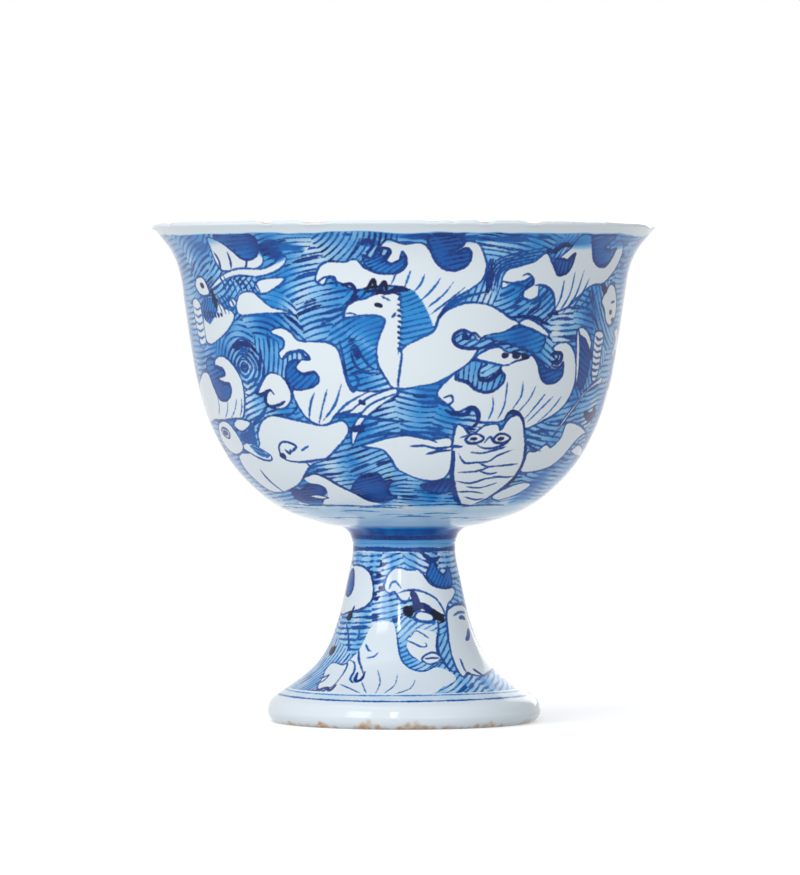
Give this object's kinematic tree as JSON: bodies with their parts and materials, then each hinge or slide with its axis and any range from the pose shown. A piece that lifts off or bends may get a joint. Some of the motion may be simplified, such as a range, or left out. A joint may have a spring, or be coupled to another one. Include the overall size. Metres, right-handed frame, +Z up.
{
  "type": "porcelain stem cup",
  "caption": "Flared porcelain stem cup with a deep rounded bowl on a tall spreading foot, painted in underglaze blue with animals among waves.",
  "frame": {"origin": "on the table under the middle of the foot", "axes": "+Z up along the cup's axis, from the foot to the open bowl; the side the picture shows faces -Y"},
  "size_m": [0.1, 0.1, 0.0988],
  "materials": {
    "glazed_porcelain": "clear glossy glaze over white porcelain, painted in cobalt blue",
    "slip_joint": "glazed clay slip with a pooled blue tint"
  },
  "bodies": {
    "root": {"bowl": "glazed_porcelain", "luting_slip": "slip_joint", "stem_foot": "glazed_porcelain"}
  },
  "joints": []
}
